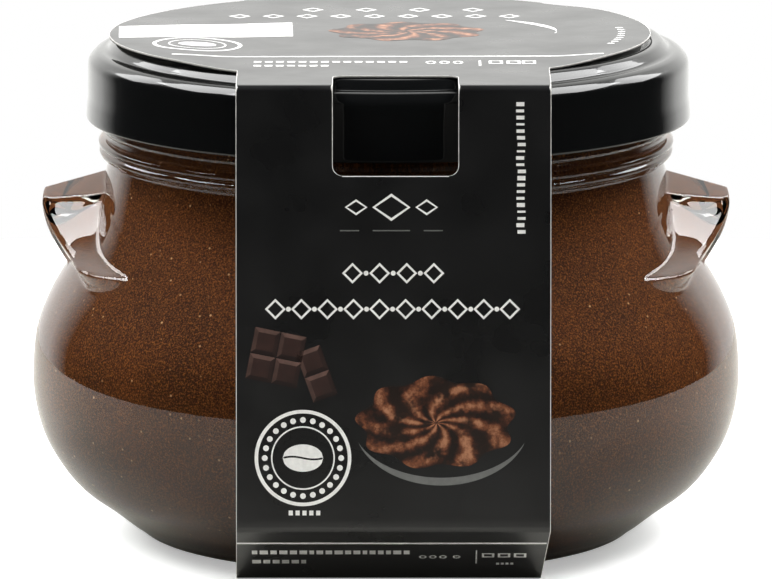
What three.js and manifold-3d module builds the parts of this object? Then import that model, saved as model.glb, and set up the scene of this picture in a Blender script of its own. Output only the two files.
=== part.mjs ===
import * as THREE from "three";
import { mergeVertices } from "three/addons/utils/BufferGeometryUtils.js";
import Module from "manifold-3d";

// A jar of chocolate mousse in millimetres, +Z up.
// The table is z = 0, the axis of the jar is x = y = 0, its ears point along X,
// and the printed front of the card sleeve faces -Y.

// Card sleeve
const cardThickness = 0.35;
const sleeveHeight = 86.65;
const sleeveWidth = 52.7;
const sleeveShift = 1.25;
const topHalfDepth = 56.6;
const creaseHalfDepth = 63.6;
const creaseHeight = 12.2;
const baseHalfDepth = 43.2;
const discRadius = 46.75;
const discShift = -0.95;
const windowWidth = 21.0;
const windowShift = 1.6;
const windowBottom = 71.6;
const windowHalfDepth = 45.7;
const windowCorner = 1.7;
const cutDepth = 20.0;
const cutMargin = 4.0;

// Glass jar
const footLift = cardThickness + 0.1;
const footRadius = 42.3;
const bellyRadius = 61.0;
const neckRadius = 48.1;
const finishRadius = 47.8;
const beadSwell = 1.45;
const beadHeight = 67.8;
const upperBeadSwell = 1.2;
const upperBeadHeight = 71.3;
const beadHalfHeight = 1.4;
const wallThickness = 3.0;
const floorHeight = 5.0;
const rimHeight = 84.9;
const pushUp = 1.5;

// The belly as [radius, height]. It swells from the foot, is widest a third of the way up
// and draws in through a slope to the neck.
const bellyPoints = [
  [44.9, 2.7],
  [48.6, 5.6],
  [53.4, 9.1],
  [56.9, 13.4],
  [59.6, 18.6],
  [bellyRadius, 24.9],
  [bellyRadius, 31.5],
  [60.2, 36.7],
  [58.1, 41.9],
  [55.2, 47.0],
  [52.4, 52.2],
  [49.9, 57.4],
  [48.8, 61.2],
  [neckRadius, 64.8],
];

// The turn from the foot's inner edge to the belly, as [radius, height above the foot].
const footPoints = [
  [footRadius - 7, pushUp],
  [footRadius - 3.5, 0],
  [footRadius - 0.5, 0],
  [footRadius + 0.3, 0.6],
  [footRadius + 1.3, 1.9],
];

// The turn from the inner wall to the floor, as [radius, height above the floor].
const floorTurn = [
  [46.2, 3.3],
  [43.4, 1.0],
];
const floorRadius = 38.0;

// Ears moulded on the jar, with lengths round the jar measured as arcs from an ear's middle
const earTipRadius = 59.5;
const earTipHeight = 57.9;
const earRootRadius = 48.5;
const earRootHeight = 63.0;
const earLedgeSlope = 0.28;
const earLedgeCrown = 0.3;
const earTipHalfWidth = 2.6;
const earRootHalfWidth = 8.6;
const earReach = 35.5;
const earFade = 7.0;
const ledgeUnderside = 60.5;

// The outer face of an ear falls away below its tip by the first factor times the depth raised
// to the power, and rounds off above it by the second factor times the height squared.
const faceFall = 0.205;
const facePower = 1.375;
const faceCrown = 0.19;
const faceSwell = 2.4;
const faceSwellMiddle = 25.0;
const faceSwellWidth = 7.0;

// Two lines run out round the shoulder from an ear's ledge, the edge of its outer face and the
// top of the hollow ramp beside it. Each sinks to the foot's height as rise * exp(-arc / length).
const earEdgeFoot = 48.75;
const edgeRise = 14.1;
const edgeLength = 8.45;
const rampRise = 25.7;
const rampLength = 9.8;
const rampPower = 1.4;

// Rows and columns of the jar's skin follow the ears and ease to even steps away from them
const earColumnsEnd = THREE.MathUtils.degToRad(40);
const easeAbove = 7.0;
const easeBelow = 16.0;
const easeBelowFrom = 46.5;

// Lid, a drawn sheet turned round the axis, its upper side as [radius, height] from the middle:
// recessed panel, raised ring, shelf, shoulder, skirt leaning out, rolled lower edge
const lidShift = 0.4;
const lidRadius = 52.1;
const lidSheet = 0.5;
const lidUpper = [
  [0, 84.75],
  [43.3, 84.75],
  [44.6, 85.5],
  [45.3, 86.05],
  [46.5, 86.12],
  [47.5, 85.55],
  [48.35, 84.7],
  [48.95, 84.45],
  [50.3, 84.1],
  [51.15, 83.36],
  [51.7, 82.3],
  [51.82, 81.0],
  [51.85, 76.6],
  [lidRadius, 73.7],
  [lidRadius - 0.1, 72.8],
  [51.3, 72.7],
  [50.6, 73.0],
  [50.5, 73.8],
  [50.9, 74.6],
];
const lidUnder = [
  [51.35, 75.2],
  [51.3, 81.0],
  [51.2, 82.15],
  [50.75, 83.0],
  [50.05, 83.65],
  [48.8, 83.95],
  [48.05, 84.3],
  [47.2, 85.1],
  [46.4, 85.6],
  [45.5, 85.55],
  [44.9, 85.1],
  [43.6, 84.25],
  [0, 84.25],
];

// Mousse
const mousseGap = 0.3;
const mousseLevel = 82.0;

const lidSteps = 72;
const quarterColumns = 14;

function smoothStep(value) {
  const t = THREE.MathUtils.clamp(value, 0, 1);
  return t * t * (3 - 2 * t);
}

function finish(color, roughness, metalness, opacity = 1) {
  return new THREE.MeshStandardMaterial({
    color,
    roughness,
    metalness,
    opacity,
    transparent: opacity < 1,
  });
}

const bellyCurve = new THREE.SplineCurve(
  bellyPoints.map(([radius, height]) => new THREE.Vector2(radius, height)),
);

// The arc length at which each of an ear's two lines has sunk to a height.
function earEdgeSide(height) {
  const side = edgeLength * Math.log(edgeRise / Math.max(0.4, height - earEdgeFoot));
  return THREE.MathUtils.clamp(side, earTipHalfWidth, faceSwellMiddle + 3);
}

function earRampSide(height) {
  const side = rampLength * Math.log(rampRise / Math.max(0.4, height - earEdgeFoot));
  return THREE.MathUtils.clamp(side, earRootHalfWidth, earReach - 1);
}

// How far out an ear reaches at an arc length from its middle and at a height. Its outer face
// leans out to the tip and its top ledge slopes down from the neck. Beside the ledge a hollow
// ramp falls from the body to the edge of the outer face.
function earRadius(side, height, bodyRadius) {
  const below = Math.max(0, earTipHeight - height);
  const above = Math.max(0, height - earTipHeight);
  const swell = faceSwell * Math.exp(-(((side - faceSwellMiddle) / faceSwellWidth) ** 2));
  const outerFace = earTipRadius - faceFall * below ** facePower - faceCrown * above ** 2 + swell;
  const ledge = earRootRadius + (earRootHeight - earLedgeCrown * side - height) / earLedgeSlope;
  const taper = (side - earTipHalfWidth) / (earRootHalfWidth - earTipHalfWidth);
  const wedge = earTipRadius - Math.max(0, taper) * (earTipRadius - earRootRadius);
  const rampFoot = earEdgeFoot + edgeRise * Math.exp(-side / edgeLength);
  const rampTop = Math.min(ledgeUnderside, earEdgeFoot + rampRise * Math.exp(-side / rampLength));
  const start = Math.max(bodyRadius, wedge);
  const fall = Math.max(0, rampTop - height) / Math.max(0.3, rampTop - rampFoot);
  const ramp = start + Math.max(0, outerFace - start) * Math.min(1, fall) ** rampPower;
  const reach = Math.min(outerFace, ledge, ramp);
  const fade = 1 - smoothStep((side - earReach + earFade) / earFade);
  return bodyRadius + Math.max(0, reach - bodyRadius) * fade;
}

// The angles of a ring's columns. Across an ear they follow its edge and its ramp, and above
// and below it they ease back to even steps.
function columnAngles(radius, height) {
  const edge = earEdgeSide(height);
  const ramp = earRampSide(height);
  const across = [0, 0.6 * edge, edge, 0.65 * edge + 0.35 * ramp, 0.3 * edge + 0.7 * ramp, ramp];
  const earAngles = across.map((side) => side / radius);
  earAngles.push((earAngles[5] + earColumnsEnd) / 2);
  const stepsAfter = quarterColumns - earAngles.length;
  for (let step = 0; step <= stepsAfter; step += 1) {
    earAngles.push(earColumnsEnd + (Math.PI / 2 - earColumnsEnd) * (step / stepsAfter));
  }
  const above = smoothStep((height - earRootHeight) / easeAbove);
  const below = smoothStep((easeBelowFrom - height) / easeBelow);
  const ease = Math.max(above, below);
  const quarter = earAngles.map((angle, index) => {
    const even = (index / quarterColumns) * (Math.PI / 2);
    return angle + (even - angle) * ease;
  });
  const mirrored = quarter.slice(0, -1).reverse().map((angle) => Math.PI - angle);
  const half = quarter.concat(mirrored);
  return half.concat(half.slice(1, -1).map((angle) => angle + Math.PI));
}

// A bead round the neck, half an ellipse standing out from the wall, as [radius, height].
function bead(wallRadius, swell, middle) {
  return [-1, -0.94, -0.5, 0, 0.5, 0.94, 1].map((step) => {
    const stands = swell * Math.sqrt(1 - step ** 2);
    return [wallRadius + stands, middle + step * beadHalfHeight];
  });
}

// The profile of the jar as [radius, height, bearsEars], from the middle of its underside
// up the outside, over the rim and down the inside to the middle of its floor.
function jarProfile() {
  const foot = footPoints.map(([radius, height]) => [radius, footLift + height]);
  const bellyShares = [0, 0.06, 0.12, 0.19, 0.27, 0.35, 0.43, 0.5, 0.56];
  const belly = bellyShares.map((t) => bellyCurve.getPointAt(t).toArray());
  const shoulderHeights = [
    44.6, 46.4, 47.6, 48.8, 49.5, 50.3, 51.4, 52.8, 54.4, 56.0, 57.6, 59.0, 59.8, 60.8, 61.9, 63.1,
  ];
  const shoulder = shoulderHeights.map((height) => [bodyRadiusAt(height), height]);
  const beads = bead(neckRadius, beadSwell, beadHeight);
  beads.push(...bead(finishRadius, upperBeadSwell, upperBeadHeight));
  const innerRadius = finishRadius - wallThickness;
  const rim = [
    [finishRadius, rimHeight - 1],
    [finishRadius - 1, rimHeight],
    [innerRadius + 0.8, rimHeight],
    [innerRadius, rimHeight - 0.8],
  ];
  const underside = [[0, footLift + pushUp]];
  const outside = underside.concat(foot, belly, shoulder, beads);
  const inside = rim.concat(insideProfile(0));
  return outside.map((point) => [...point, true]).concat(inside.map((point) => [...point, false]));
}

function bodyRadiusAt(height) {
  let low = 0;
  let high = 1;
  for (let step = 0; step < 24; step += 1) {
    const middle = (low + high) / 2;
    if (bellyCurve.getPoint(middle).y < height) {
      low = middle;
    } else {
      high = middle;
    }
  }
  return bellyCurve.getPoint(low).x;
}

// The inner wall from the neck down to the middle of the floor, as [radius, height],
// with the wall made thicker by the gap given.
function insideProfile(gap) {
  const inset = wallThickness + gap;
  const wall = [0.98, 0.88, 0.78, 0.68, 0.58, 0.48, 0.38, 0.28, 0.17].map((t) => {
    const point = bellyCurve.getPointAt(t);
    const tangent = bellyCurve.getTangentAt(t);
    return [point.x - tangent.y * inset, point.y + tangent.x * inset];
  });
  const turn = floorTurn.map(([radius, height]) => [radius - gap, floorHeight + height + gap]);
  return wall.concat(turn, [[floorRadius, floorHeight + gap], [0, floorHeight + gap]]);
}

// A closed skin through rings of points: one vertex where a ring's radius is nothing,
// quads between rings and a fan at each pole.
function ringSkin(rings, count) {
  const positions = [];
  const starts = [];
  for (const ring of rings) {
    starts.push(positions.length / 3);
    for (const point of ring) {
      positions.push(...point);
    }
  }
  const triangles = [];
  for (let row = 0; row + 1 < rings.length; row += 1) {
    for (let column = 0; column < count; column += 1) {
      const next = (column + 1) % count;
      const lower = rings[row].length === 1 ? [0, 0] : [column, next];
      const upper = rings[row + 1].length === 1 ? [0, 0] : [column, next];
      const a = starts[row] + lower[0];
      const b = starts[row] + lower[1];
      const c = starts[row + 1] + upper[1];
      const d = starts[row + 1] + upper[0];
      if (a !== b) {
        triangles.push(a, b, c);
      }
      if (c !== d) {
        triangles.push(a, c, d);
      }
    }
  }
  const geometry = new THREE.BufferGeometry();
  geometry.setAttribute("position", new THREE.Float32BufferAttribute(positions, 3));
  geometry.setIndex(triangles);
  geometry.computeVertexNormals();
  return geometry;
}

// One ring of points, or a single point on the axis. The outside of the jar bears the ears.
function ring(radius, height, bearsEars) {
  if (radius === 0) {
    return [[0, 0, height]];
  }
  return columnAngles(radius, bearsEars ? height : rimHeight).map((angle) => {
    const fromEar = Math.min(angle % Math.PI, Math.PI - (angle % Math.PI));
    const reach = bearsEars ? earRadius(fromEar * radius, height, radius) : radius;
    return [reach * Math.cos(angle), reach * Math.sin(angle), height];
  });
}

function glassJar() {
  const rings = jarProfile().map(([radius, height, bearsEars]) => ring(radius, height, bearsEars));
  return ringSkin(rings, 4 * quarterColumns);
}

function latheUp(outline) {
  const points = outline.map(([radius, height]) => new THREE.Vector2(radius, height));
  return new THREE.LatheGeometry(points, lidSteps).rotateX(Math.PI / 2);
}

function mousse() {
  const inside = insideProfile(mousseGap).filter(([, height]) => height < mousseLevel - 1);
  const neck = finishRadius - wallThickness - mousseGap;
  const outline = [[0, mousseLevel], [neck, mousseLevel], [neck, beadHeight], ...inside].reverse();
  return ringSkin(outline.map(([radius, height]) => ring(radius, height, false)), 4 * quarterColumns);
}

function lid() {
  return latheUp(lidUpper.concat(lidUnder).reverse()).translate(lidShift, 0, 0);
}

// Moves every edge of a closed outline of straight lines inward by a distance.
function insetOutline(corners, distance) {
  const count = corners.length;
  const edges = corners.map((corner, index) => {
    const direction = corners[(index + 1) % count].clone().sub(corner).normalize();
    const inward = new THREE.Vector2(-direction.y, direction.x);
    return { start: corner.clone().addScaledVector(inward, distance), direction };
  });
  return edges.map((edge, index) => {
    const before = edges[(index + count - 1) % count];
    const across = edge.start.clone().sub(before.start);
    const turn = before.direction.cross(edge.direction);
    return before.start.clone().addScaledVector(before.direction, across.cross(edge.direction) / turn);
  });
}

function toManifold(wasm, geometry) {
  const bare = geometry.clone();
  bare.deleteAttribute("normal");
  bare.deleteAttribute("uv");
  const merged = mergeVertices(bare, 1e-4);
  return new wasm.Manifold(new wasm.Mesh({
    numProp: 3,
    vertProperties: new Float32Array(merged.attributes.position.array),
    triVerts: new Uint32Array(merged.index.array),
  }));
}

function fromManifold(solid) {
  const mesh = solid.getMesh();
  const geometry = new THREE.BufferGeometry();
  geometry.setAttribute("position", new THREE.Float32BufferAttribute(mesh.vertProperties, 3));
  geometry.setIndex(Array.from(mesh.triVerts));
  geometry.computeVertexNormals();
  return geometry;
}

// A window blank: a rectangle open upward whose two lower corners are round.
function windowShape(bottom, top) {
  const left = windowShift - windowWidth / 2;
  const right = windowShift + windowWidth / 2;
  const shape = new THREE.Shape();
  shape.moveTo(left, top);
  shape.lineTo(left, bottom + windowCorner);
  shape.absarc(left + windowCorner, bottom + windowCorner, windowCorner, Math.PI, 1.5 * Math.PI, false);
  shape.absarc(right - windowCorner, bottom + windowCorner, windowCorner, 1.5 * Math.PI, 2 * Math.PI, false);
  shape.lineTo(right, top);
  shape.closePath();
  return shape;
}

// The sleeve is one strip of card wrapped over the lid and under the foot. Its top widens
// into a disc over the lid, and a window is cut across the front fold.
function sleeve(wasm) {
  const corners = [
    [-topHalfDepth, sleeveHeight],
    [-creaseHalfDepth, creaseHeight],
    [-baseHalfDepth, 0],
    [baseHalfDepth, 0],
    [creaseHalfDepth, creaseHeight],
    [topHalfDepth, sleeveHeight],
  ].map(([depth, height]) => new THREE.Vector2(depth, height));
  const loop = new THREE.Shape(corners);
  loop.holes.push(new THREE.Path(insetOutline(corners, cardThickness)));
  const strip = new THREE.ExtrudeGeometry(loop, { depth: sleeveWidth, bevelEnabled: false });
  strip.translate(0, 0, sleeveShift - sleeveWidth / 2);
  strip.applyMatrix4(new THREE.Matrix4().makeBasis(
    new THREE.Vector3(0, 1, 0),
    new THREE.Vector3(0, 0, 1),
    new THREE.Vector3(1, 0, 0),
  ));
  const disc = new THREE.CylinderGeometry(discRadius, discRadius, cardThickness, lidSteps);
  disc.rotateX(Math.PI / 2);
  disc.translate(discShift, 0, sleeveHeight - cardThickness / 2);
  const cutOptions = { depth: cutDepth, bevelEnabled: false, curveSegments: 4 };
  const aboveCard = sleeveHeight + cutMargin;
  const frontCut = new THREE.ExtrudeGeometry(windowShape(windowBottom, aboveCard), cutOptions);
  frontCut.rotateX(Math.PI / 2);
  frontCut.translate(0, cutMargin - topHalfDepth, 0);
  const beyondCard = creaseHalfDepth + cutMargin;
  const topCut = new THREE.ExtrudeGeometry(windowShape(windowHalfDepth, beyondCard), cutOptions);
  topCut.rotateX(Math.PI);
  topCut.translate(0, 0, aboveCard);
  const card = toManifold(wasm, strip).add(toManifold(wasm, disc));
  return fromManifold(card.subtract(toManifold(wasm, frontCut)).subtract(toManifold(wasm, topCut)));
}

function named(name, geometry, material) {
  const mesh = new THREE.Mesh(geometry, material);
  mesh.name = name;
  return mesh;
}

const wasm = await Module();
wasm.setup();

const jarOfMousse = new THREE.Group();
jarOfMousse.add(named("glass_jar", glassJar(), finish(0xdfe8e4, 0.05, 0, 0.35)));
jarOfMousse.add(named("mousse", mousse(), finish(0x553018, 0.75, 0)));
jarOfMousse.add(named("lid", lid(), finish(0x101112, 0.18, 0.6)));
jarOfMousse.add(named("sleeve", sleeve(wasm), finish(0x1b1c1f, 0.45, 0)));

export default jarOfMousse;
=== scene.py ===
import math
import bmesh
import bpy
import numpy as np
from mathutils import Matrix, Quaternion, Vector


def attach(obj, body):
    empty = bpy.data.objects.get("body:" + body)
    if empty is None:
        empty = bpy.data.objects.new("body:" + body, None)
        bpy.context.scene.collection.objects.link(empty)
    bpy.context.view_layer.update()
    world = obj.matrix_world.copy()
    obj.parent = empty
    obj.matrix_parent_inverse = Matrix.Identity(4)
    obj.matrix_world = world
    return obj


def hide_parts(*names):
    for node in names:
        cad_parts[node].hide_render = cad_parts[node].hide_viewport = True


# A squat glass jar of chocolate mousse with a black twist lid, in a printed card sleeve.
# Shapes are worked out in millimetres and go into the meshes in metres.

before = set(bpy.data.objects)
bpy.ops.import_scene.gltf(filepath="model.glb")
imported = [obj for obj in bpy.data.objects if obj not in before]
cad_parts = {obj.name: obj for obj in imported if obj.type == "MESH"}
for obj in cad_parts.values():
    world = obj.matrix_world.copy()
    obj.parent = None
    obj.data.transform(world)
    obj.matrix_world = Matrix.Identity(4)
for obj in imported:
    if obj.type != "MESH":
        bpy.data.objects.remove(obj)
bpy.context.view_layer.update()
print("frame loaded")


def smoothStep(low, high, value):
    # 0 below low, 1 above high, an S-curve 3t^2 - 2t^3 between them
    t = np.clip((value - low) / (high - low), 0, 1)
    return t * t * (3 - 2 * t)


def softMin(a, b, width):
    # the smaller of two heights, with the crossing rounded over the width
    h = np.clip(0.5 + 0.5 * (b - a) / width, 0, 1)
    return b + (a - b) * h - width * h * (1 - h)


def softMax(a, b, width):
    return -softMin(-a, -b, width)


def splineThrough(points, count):
    # cubic through the points, each slope being half the step between its two neighbours
    points = np.asarray(points, float)
    t = np.linspace(0, len(points) - 1, count)
    i = np.minimum(t.astype(int), len(points) - 2)
    w = (t - i)[:, None]
    before, start = points[np.maximum(i - 1, 0)], points[i]
    end, after = points[i + 1], points[np.minimum(i + 2, len(points) - 1)]
    slopeIn, slopeOut = (end - before) / 2, (after - start) / 2
    return (
        (2 * start - 2 * end + slopeIn + slopeOut) * w ** 3
        + (-3 * start + 3 * end - 2 * slopeIn - slopeOut) * w ** 2
        + slopeIn * w + start
    )


def atHeights(curve, heights):
    # the curve's radius at each height
    return np.stack([np.interp(heights, curve[:, 1], curve[:, 0]), heights], 1)


def gridFaces(rows, columns, wrapRows=False, wrapColumns=False, keep=None):
    # one quad for each cell of a grid of points, or for the cells that keep picks
    r, c = np.meshgrid(
        np.arange(rows if wrapRows else rows - 1),
        np.arange(columns if wrapColumns else columns - 1),
        indexing="ij",
    )
    nextRow, nextColumn = (r + 1) % rows, (c + 1) % columns
    quads = np.stack([
        r * columns + c, r * columns + nextColumn,
        nextRow * columns + nextColumn, nextRow * columns + c,
    ], -1)
    return quads[keep] if keep is not None else quads.reshape(-1, 4)


def spans(*rows):
    # evenly spaced numbers from (first, last, count) rows, one row after another
    return np.concatenate([np.linspace(*row) for row in rows])


def addObject(name, data):
    thing = bpy.data.objects.new(name, data)
    bpy.context.scene.collection.objects.link(thing)
    return thing


def makePiece(name, points, faces, materials, weld=True, smooth=True, tones=None):
    # faces is an array of quads and points are in millimetres; tones gives the material one number
    # for each point
    mesh = bpy.data.meshes.new(name)
    points = np.ascontiguousarray(np.asarray(points, float).reshape(-1, 3) * 0.001, np.float32)
    faces = np.ascontiguousarray(faces, np.int32)
    mesh.vertices.add(len(points))
    mesh.vertices.foreach_set("co", points.ravel())
    mesh.loops.add(faces.size)
    mesh.loops.foreach_set("vertex_index", faces.ravel())
    mesh.polygons.add(len(faces))
    mesh.polygons.foreach_set("loop_start", np.arange(0, faces.size, 4, dtype=np.int32))
    mesh.update(calc_edges=True)
    if tones is not None:
        layer = mesh.attributes.new("tone", "FLOAT", "POINT")
        layer.data.foreach_set("value", np.ascontiguousarray(tones, np.float32).ravel())
    if weld:
        shell = bmesh.new()
        shell.from_mesh(mesh)
        bmesh.ops.remove_doubles(shell, verts=shell.verts, dist=1e-7)
        loose = [v for v in shell.verts if not v.link_faces]
        bmesh.ops.delete(shell, geom=loose, context="VERTS")
        shell.to_mesh(mesh)
        shell.free()
    mesh.validate()
    mesh.polygons.foreach_set("use_smooth", np.full(len(mesh.polygons), smooth))
    for material in materials:
        mesh.materials.append(material)
    piece = addObject(name, mesh)
    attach(piece, "root")
    return piece


def fullTurn(count):
    return np.linspace(0, 2 * math.pi, count + 1)[:-1]


def latheGrid(profile, angles):
    # each profile point [radius, height] swept round the axis
    radius, height = profile[:, 0][:, None], profile[:, 1][:, None]
    heights = np.broadcast_to(height, (len(profile), len(angles)))
    return np.stack([radius * np.cos(angles), radius * np.sin(angles), heights], -1)


def turnedPiece(name, profile, columns, material, shift=0.0):
    # a profile swept round the axis and moved to the right
    faces = gridFaces(len(profile), columns, wrapColumns=True)
    grid = latheGrid(profile, fullTurn(columns)) + np.array([shift, 0, 0])
    return makePiece(name, grid, faces, [material])


def movedInward(curve, distance):
    # every point goes along the curve's normal
    along = np.gradient(curve, axis=0)
    along /= np.linalg.norm(along, axis=1)[:, None]
    return curve + distance * np.stack([-along[:, 1], along[:, 0]], 1)


def thicken(piece, name, millimetres):
    # the thickness goes inward from the faces
    layer = piece.modifiers.new(name, "SOLIDIFY")
    layer.thickness = millimetres * 0.001
    layer.offset = -1
    return layer


def newMaterial(name):
    material = bpy.data.materials.new(name)
    material.use_nodes = True
    material.node_tree.nodes.clear()
    return material, material.node_tree


def feed(tree, socket, value):
    # a socket of another node is linked, and anything else is set
    if isinstance(value, bpy.types.NodeSocket):
        tree.links.new(value, socket)
    else:
        socket.default_value = value


def addNode(tree, kind, settings=None, **inputs):
    # inputs are named by socket, with spaces left out
    node = tree.nodes.new(kind)
    for key, value in (settings or {}).items():
        setattr(node, key, value)
    for key, value in inputs.items():
        socket = next(s for s in node.inputs if s.name.replace(" ", "") == key and s.enabled)
        feed(tree, socket, value)
    return node


def compute(tree, operation, *values):
    node = addNode(tree, "ShaderNodeMath", {"operation": operation})
    for socket, value in zip(node.inputs, values):
        feed(tree, socket, value)
    return node.outputs[0]


def objectPoints(tree, scale=(1, 1, 1)):
    place = addNode(tree, "ShaderNodeTexCoord").outputs["Object"]
    return addNode(tree, "ShaderNodeMapping", Vector=place, Scale=scale).outputs["Vector"]


def noise(tree, vector, scale, detail=2.0, roughness=0.5):
    return addNode(
        tree, "ShaderNodeTexNoise", Vector=vector, Scale=scale, Detail=detail, Roughness=roughness
    ).outputs["Fac"]


def ramp(tree, factor, stops):
    # stops are (position, colour) pairs
    node = addNode(tree, "ShaderNodeValToRGB", Fac=factor)
    elements = node.color_ramp.elements
    while len(elements) < len(stops):
        elements.new(0.5)
    for element, (position, colour) in zip(elements, stops):
        element.position = position
        element.color = (*colour, 1)
    return node.outputs["Color"]


def spread(tree, factor, low, high, toLow=0.0, toHigh=1.0):
    # the factor carried from the range low to high into the range toLow to toHigh
    return addNode(
        tree, "ShaderNodeMapRange", Value=factor, FromMin=low, FromMax=high,
        ToMin=toLow, ToMax=toHigh
    ).outputs["Result"]


def mixColours(tree, factor, a, b):
    node = tree.nodes.new("ShaderNodeMix")
    node.data_type = "RGBA"
    feed(tree, node.inputs[0], factor)
    for index, colour in ((6, a), (7, b)):
        linked = isinstance(colour, bpy.types.NodeSocket)
        feed(tree, node.inputs[index], colour if linked else (*colour, 1))
    return node.outputs[2]


def shaded(tree, factor, low, high, colour, dark, light=1.0):
    # a darker to a lighter shade of one colour, as the factor goes from low to high
    shares = ((low, dark), (high, light))
    return ramp(tree, factor, [(at, [share * v for v in colour]) for at, share in shares])


def surface(tree, **inputs):
    return addNode(tree, "ShaderNodeBsdfPrincipled", **inputs)


def output(tree, shader):
    addNode(tree, "ShaderNodeOutputMaterial", Surface=shader.outputs[0])


def pointTone(tree):
    return addNode(tree, "ShaderNodeAttribute", {"attribute_name": "tone"}).outputs["Fac"]


def bump(tree, height, strength, distance):
    return addNode(
        tree, "ShaderNodeBump", Height=height, Strength=strength, Distance=distance
    ).outputs["Normal"]


camera = dict(place=(0, -1.725, 0.3487), down=10.08, lens=471.9, sensor=36, clip=0.05)
cameraData = bpy.data.cameras.new("camera")
cameraData.lens = camera["lens"]
cameraData.sensor_width = camera["sensor"]
cameraData.sensor_fit = "HORIZONTAL"
cameraData.clip_start = camera["clip"]
cameraObject = addObject("camera", cameraData)
cameraObject.location = camera["place"]
cameraObject.rotation_euler = (math.radians(90 - camera["down"]), 0, 0)
bpy.context.scene.camera = cameraObject


jar = dict(
    belly=[
        (44.9, 2.7), (48.6, 5.6), (53.4, 9.1), (56.9, 13.4), (59.6, 18.6), (61.0, 24.9),
        (61.0, 31.5), (60.2, 36.7), (58.1, 41.9), (55.2, 47.0), (52.4, 52.2), (49.9, 57.4),
        (48.8, 61.2), (48.1, 64.8),
    ],
    foot=[
        (0, 1.95), (12, 1.95), (24, 1.95), (33, 1.9), (36.4, 1.35), (38.4, 0.65), (40.3, 0.46),
        (41.7, 0.6), (42.6, 1.05), (43.5, 1.8), (44.9, 2.7),
    ],
    rim=[(47.8, 84.0), (47.4, 84.7), (46.6, 84.9), (45.6, 84.85), (44.95, 84.5), (44.8, 84.0)],
    wall=3.0, innerFrom=11.0, innerTo=66.0, innerNeck=(84.0, 81.0, 77.0, 73.0, 70.0, 67.5),
    floorTurn=[(46.2, 8.3), (43.4, 6.1), (39.0, 5.1), (30.0, 5.0), (14.0, 5.0), (0.0, 5.0)],
    # middle, swell and half height of the neck's broad swelling and of the three beads on it
    beads=[(67.7, 0.5, 1.9), (66.85, 0.95, 0.95), (68.6, 1.1, 0.95), (71.3, 1.25, 1.15)],
    bevelSlope=0.9, bevelCut=0.09, neckRadius=48.1, finishRadius=47.8, finishFrom=70.0,
    # rows of points round the foot, up the belly and the neck, over the rim and to the floor,
    # closest at the ears and the beads, and columns over a quarter turn from an ear's middle
    footRows=34, rimRows=9, turnRows=24, innerEvery=10,
    bellyRows=[
        (4.01, 42, 30), (43, 47, 9), (47.6, 55.92, 27), (56, 63.6, 39), (63.8, 64.7, 4),
    ],
    neckRows=[(65.2, 65.7, 2), (66, 73.3, 66), (74.5, 77, 2), (80, 83.6, 2)],
    quarterColumns=[(0, 10.8, 31), (11, 41.6, 37), (42, 90, 20)],
    earRows=(30, 67),
    tint=(0.945, 0.98, 0.955), shadowTint=(0.93, 0.95, 0.93, 1), roughness=0.0, refraction=1.5,
    waveScale=38.0, wave=0.025, waveDepth=0.0012,
)
ear = dict(
    tipRadius=60.2, tipHeight=57.9, rootRadius=48.5, rootHeight=63.0,
    tipHalfWidth=2.6, rootHalfWidth=8.6, reach=35.5, fade=7.0, rootBlend=0.25,
    faceFall=0.205, facePower=1.375, faceRound=0.19,
    swell=2.4, swellMiddle=25.0, swellWidth=7.0,
    ledgeSlope=0.28, ledgeCrown=0.3, ledgeUnderside=60.5, ledgeEdge=0.25,
    edgeFoot=48.75, footRise=14.1, footLength=8.45, topRise=25.7, topLength=9.8,
    rampPower=1.4, rampLeast=0.3, wedgeBlend=0.8, lip=3.2,
)


def earRadius(side, height, body):
    # how far out the jar reaches at an arc length from an ear's middle and at a height: the outer
    # face falls away from the tip by powers of the depth, the ledge slopes down from the neck, and
    # beside the ledge a hollow ramp falls from the body to the edge of the outer face, both its
    # heights dying away as exp(-side / length); the least of the three holds outside the body
    e = ear
    below = np.maximum(0, e["tipHeight"] - height)
    above = np.maximum(0, height - e["tipHeight"])
    swell = e["swell"] * np.exp(-(((side - e["swellMiddle"]) / e["swellWidth"]) ** 2))
    fallen = e["faceFall"] * below ** e["facePower"] + e["faceRound"] * above ** 2
    outerFace = e["tipRadius"] - fallen + swell
    ledge = e["rootRadius"] + (e["rootHeight"] - e["ledgeCrown"] * side - height) / e["ledgeSlope"]
    taper = (side - e["tipHalfWidth"]) / (e["rootHalfWidth"] - e["tipHalfWidth"])
    wedge = e["tipRadius"] - np.maximum(0, taper) * (e["tipRadius"] - e["rootRadius"])
    rampFoot = e["edgeFoot"] + e["footRise"] * np.exp(-side / e["footLength"])
    rampTop = np.minimum(
        e["ledgeUnderside"], e["edgeFoot"] + e["topRise"] * np.exp(-side / e["topLength"]))
    start = softMax(body, wedge, e["wedgeBlend"])
    fall = np.maximum(0, rampTop - height) / np.maximum(e["rampLeast"], rampTop - rampFoot)
    ramped = start + np.maximum(0, outerFace - start) * np.minimum(1, fall) ** e["rampPower"]
    reach = softMin(softMin(outerFace, ramped, e["lip"]), ledge, e["ledgeEdge"])
    fade = 1 - smoothStep(e["reach"] - e["fade"], e["reach"], side)
    return body + softMax(0 * reach, reach - body, e["rootBlend"]) * fade


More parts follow.
